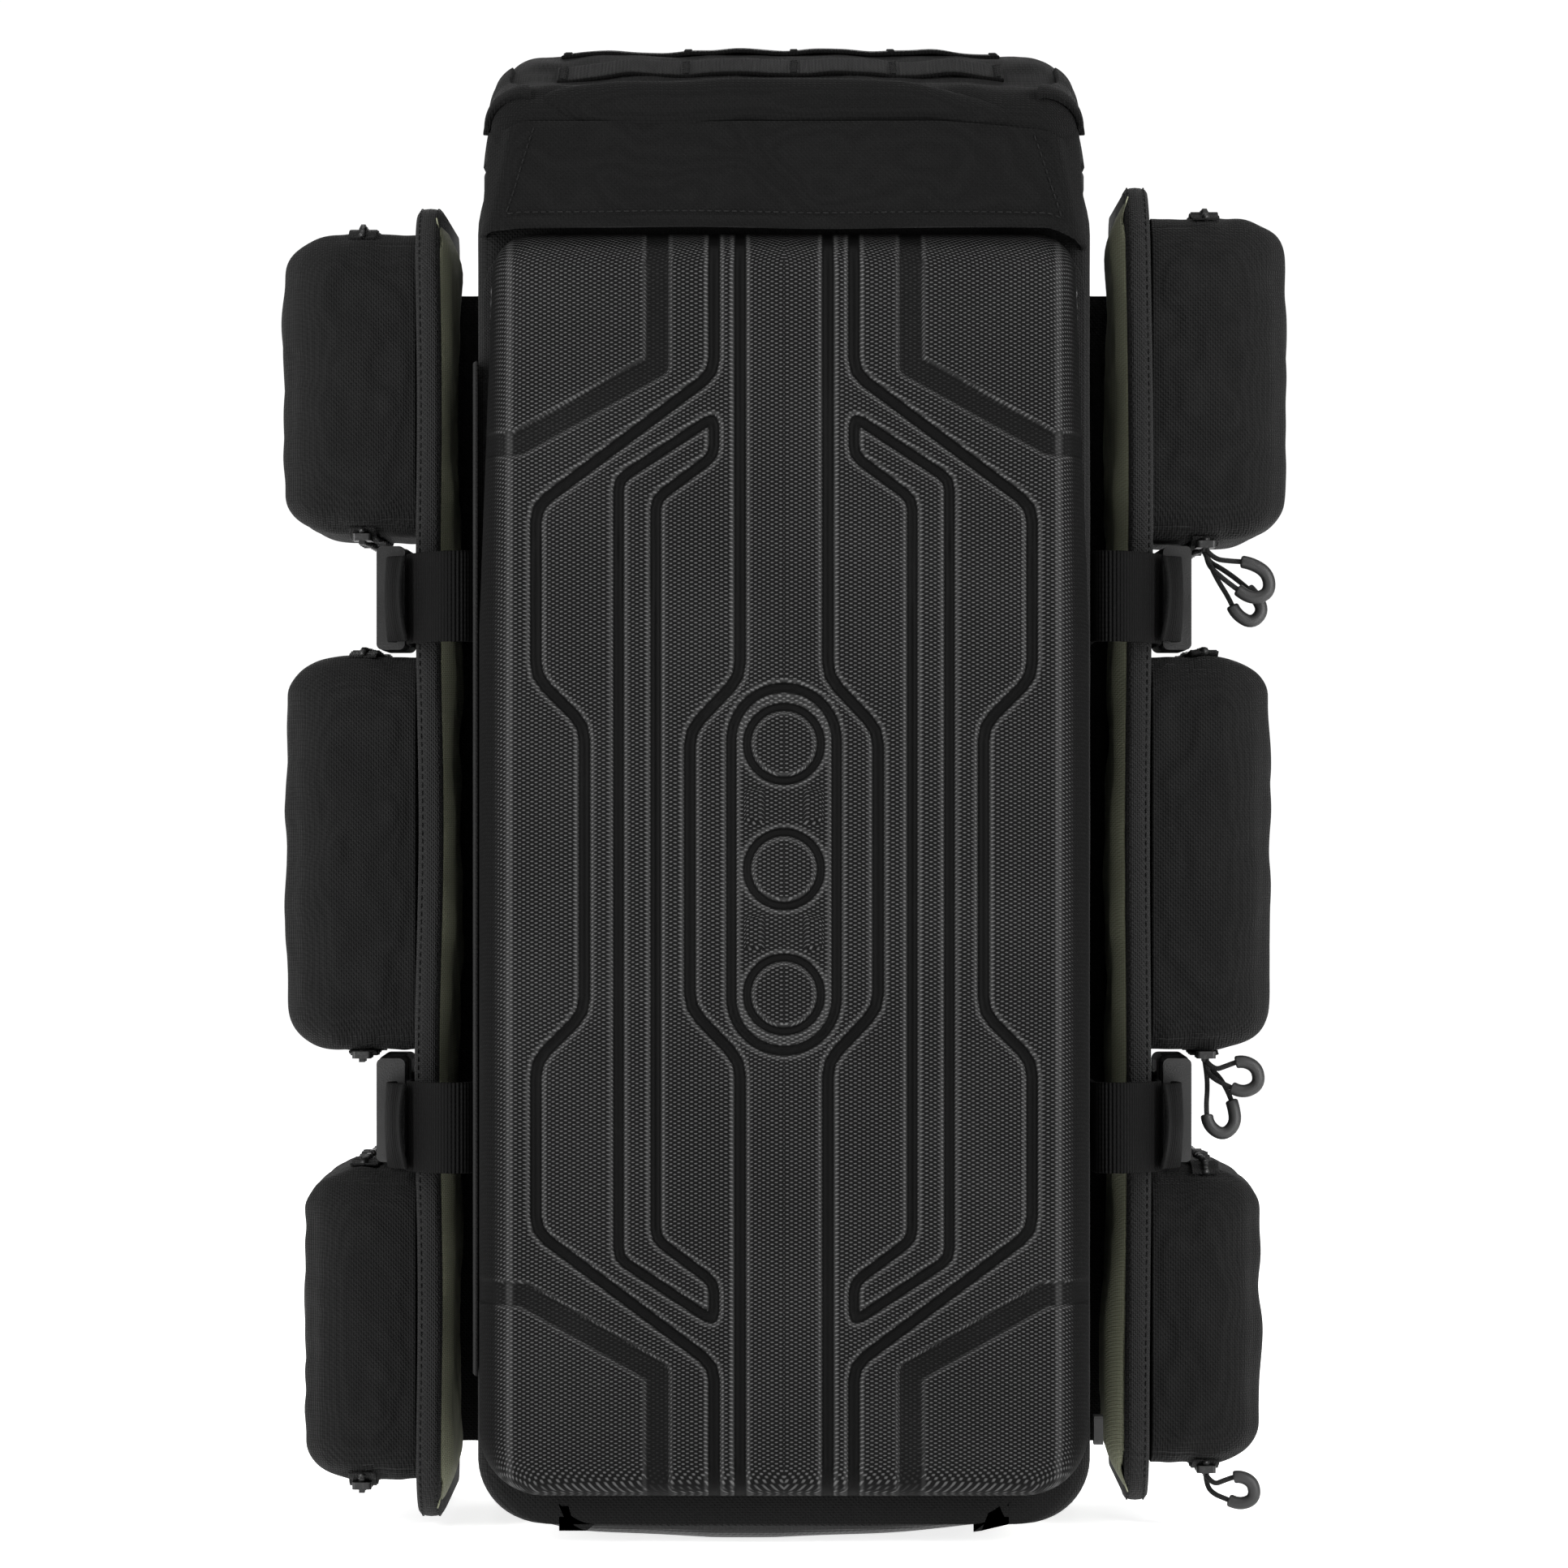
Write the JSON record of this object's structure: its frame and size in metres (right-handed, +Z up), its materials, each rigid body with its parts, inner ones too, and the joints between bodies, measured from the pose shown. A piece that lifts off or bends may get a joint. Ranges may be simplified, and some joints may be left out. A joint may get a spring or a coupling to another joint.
{
  "type": "tackle backpack",
  "caption": "Tall tackle backpack with a moulded front shell, hinged lid, hinged side wings with zipped pouches, compression straps and a padded harness.",
  "frame": {"origin": "centre of the base's underside, on the floor, midway between the wings", "axes": "+Z up, the moulded front shell faces -Y, the wearer's back is at +Y"},
  "size_m": [0.425, 0.2805, 0.637],
  "materials": {
    "moulded_eva": "ballistic-weave embossed foam shell, satin",
    "pack_fabric": "woven polyester, matt black",
    "coated_fabric": "coated tarpaulin base, satin black",
    "lining_fabric": "olive taffeta lining",
    "webbing": "ribbed nylon webbing, black",
    "mesh_pad": "air mesh over foam, black",
    "zip_tape": "reverse coil zip tape, black",
    "buckle_plastic": "moulded acetal, satin black",
    "slider_metal": "painted die-cast zip slider",
    "pull_cord": "braided cord, black",
    "grip_rubber": "moulded pull grip, matt black",
    "frame_plastic": "polyethylene sheet",
    "stay_metal": "bare aluminium bar"
  },
  "bodies": {
    "root": {"main_body": "pack_fabric", "base_panel": "coated_fabric", "frame_sheet": "frame_plastic", "frame_stays": "stay_metal", "divider_shelf": "lining_fabric", "back_pads": "mesh_pad", "strap_webbing": "webbing", "ladder_locks": "buckle_plastic", "sternum_strap": "webbing", "haul_handle": "webbing", "front_zip": "zip_tape", "wing_gussets": "pack_fabric", "shoulder_strap_left": "mesh_pad", "shoulder_strap_right": "mesh_pad"},
    "lid": {"lid_cover": "pack_fabric", "lid_lining": "lining_fabric", "lid_webbing": "webbing"},
    "shell": {"front_shell": "moulded_eva"},
    "front_slider": {"front_zip_slider": "slider_metal"},
    "plug_left_upper": {"buckle_plug_left_upper": "buckle_plastic"},
    "plug_left_lower": {"buckle_plug_left_lower": "buckle_plastic"},
    "wing_left": {"wing_panel_left": "pack_fabric", "wing_lining_left": "lining_fabric", "buckle_sockets_left": "buckle_plastic", "compression_strap_left_upper": "webbing", "compression_strap_left_lower": "webbing", "pouch_base_left_top": "pack_fabric", "pouch_base_left_middle": "pack_fabric", "pouch_base_left_bottom": "pack_fabric"},
    "plug_right_upper": {"buckle_plug_right_upper": "buckle_plastic"},
    "plug_right_lower": {"buckle_plug_right_lower": "buckle_plastic"},
    "wing_right": {"wing_panel_right": "pack_fabric", "wing_lining_right": "lining_fabric", "buckle_sockets_right": "buckle_plastic", "compression_strap_right_upper": "webbing", "compression_strap_right_lower": "webbing", "pouch_base_right_top": "pack_fabric", "pouch_base_right_middle": "pack_fabric", "pouch_base_right_bottom": "pack_fabric"},
    "cover_left_top": {"pouch_cover_left_top": "pack_fabric"},
    "sliders_left_top": {"zip_sliders_left_top": "slider_metal"},
    "cover_left_middle": {"pouch_cover_left_middle": "pack_fabric"},
    "sliders_left_middle": {"zip_sliders_left_middle": "slider_metal"},
    "cover_left_bottom": {"pouch_cover_left_bottom": "pack_fabric"},
    "sliders_left_bottom": {"zip_sliders_left_bottom": "slider_metal"},
    "cover_right_top": {"pouch_cover_right_top": "pack_fabric"},
    "sliders_right_top": {"zip_sliders_right_top": "slider_metal", "pull_cord_right_top_a": "pull_cord", "pull_cord_right_top_b": "pull_cord", "pull_grips_right_top": "grip_rubber"},
    "cover_right_middle": {"pouch_cover_right_middle": "pack_fabric"},
    "sliders_right_middle": {"zip_sliders_right_middle": "slider_metal", "pull_cord_right_middle_a": "pull_cord", "pull_cord_right_middle_b": "pull_cord", "pull_grips_right_middle": "grip_rubber"},
    "cover_right_bottom": {"pouch_cover_right_bottom": "pack_fabric"},
    "sliders_right_bottom": {"zip_sliders_right_bottom": "slider_metal", "pull_cord_right_bottom_a": "pull_cord", "pull_grips_right_bottom": "grip_rubber"}
  },
  "joints": [
    {"name": "lid_hinge", "type": "hinge", "parent": "root", "child": "lid", "pos_m": [0, 0.094, 0.577], "axis": [-1, 0, 0], "range_deg": [0, 105]},
    {"name": "shell_hinge", "type": "hinge", "parent": "root", "child": "shell", "pos_m": [-0.1275, -0.101, 0.28], "axis": [0, 0, -1], "range_deg": [0, 100]},
    {"name": "front_zip_slide", "type": "slide", "parent": "root", "child": "front_slider", "axis": [0, 0, 1], "range_m": [0, 0.44]},
    {"name": "plug_left_upper_slide", "type": "slide", "parent": "wing_left", "child": "plug_left_upper", "axis": [0, -1, 0], "range_m": [0, 0.026]},
    {"name": "plug_left_lower_slide", "type": "slide", "parent": "wing_left", "child": "plug_left_lower", "axis": [0, -1, 0], "range_m": [0, 0.026]},
    {"name": "wing_left_hinge", "type": "hinge", "parent": "root", "child": "wing_left", "pos_m": [-0.1435, 0.093, 0.28], "axis": [0, 0, -1], "range_deg": [0, 25]},
    {"name": "plug_right_upper_slide", "type": "slide", "parent": "wing_right", "child": "plug_right_upper", "axis": [0, -1, 0], "range_m": [0, 0.026]},
    {"name": "plug_right_lower_slide", "type": "slide", "parent": "wing_right", "child": "plug_right_lower", "axis": [0, -1, 0], "range_m": [0, 0.026]},
    {"name": "wing_right_hinge", "type": "hinge", "parent": "root", "child": "wing_right", "pos_m": [0.1435, 0.093, 0.28], "axis": [0, 0, 1], "range_deg": [0, 25]},
    {"name": "cover_left_top_hinge", "type": "hinge", "parent": "wing_left", "child": "cover_left_top", "pos_m": [-0.158, -0.04875, 0.4865], "axis": [0, 0, 1], "range_deg": [0, 90]},
    {"name": "sliders_left_top_slide", "type": "slide", "parent": "wing_left", "child": "sliders_left_top", "axis": [0, 1, 0], "range_m": [0, 0.105]},
    {"name": "cover_left_middle_hinge", "type": "hinge", "parent": "wing_left", "child": "cover_left_middle", "pos_m": [-0.158, -0.04875, 0.2865], "axis": [0, 0, 1], "range_deg": [0, 90]},
    {"name": "sliders_left_middle_slide", "type": "slide", "parent": "wing_left", "child": "sliders_left_middle", "axis": [0, 1, 0], "range_m": [0, 0.105]},
    {"name": "cover_left_bottom_hinge", "type": "hinge", "parent": "wing_left", "child": "cover_left_bottom", "pos_m": [-0.158, -0.04875, 0.086], "axis": [0, 0, 1], "range_deg": [0, 90]},
    {"name": "sliders_left_bottom_slide", "type": "slide", "parent": "wing_left", "child": "sliders_left_bottom", "axis": [0, 1, 0], "range_m": [0, 0.105]},
    {"name": "cover_right_top_hinge", "type": "hinge", "parent": "wing_right", "child": "cover_right_top", "pos_m": [0.158, -0.04875, 0.4885], "axis": [0, 0, -1], "range_deg": [0, 90]},
    {"name": "sliders_right_top_slide", "type": "slide", "parent": "wing_right", "child": "sliders_right_top", "axis": [0, 1, 0], "range_m": [0, 0.105]},
    {"name": "cover_right_middle_hinge", "type": "hinge", "parent": "wing_right", "child": "cover_right_middle", "pos_m": [0.158, -0.04875, 0.2865], "axis": [0, 0, -1], "range_deg": [0, 90]},
    {"name": "sliders_right_middle_slide", "type": "slide", "parent": "wing_right", "child": "sliders_right_middle", "axis": [0, 1, 0], "range_m": [0, 0.105]},
    {"name": "cover_right_bottom_hinge", "type": "hinge", "parent": "wing_right", "child": "cover_right_bottom", "pos_m": [0.158, -0.04875, 0.0895], "axis": [0, 0, -1], "range_deg": [0, 90]},
    {"name": "sliders_right_bottom_slide", "type": "slide", "parent": "wing_right", "child": "sliders_right_bottom", "axis": [0, 1, 0], "range_m": [0, 0.105]}
  ]
}
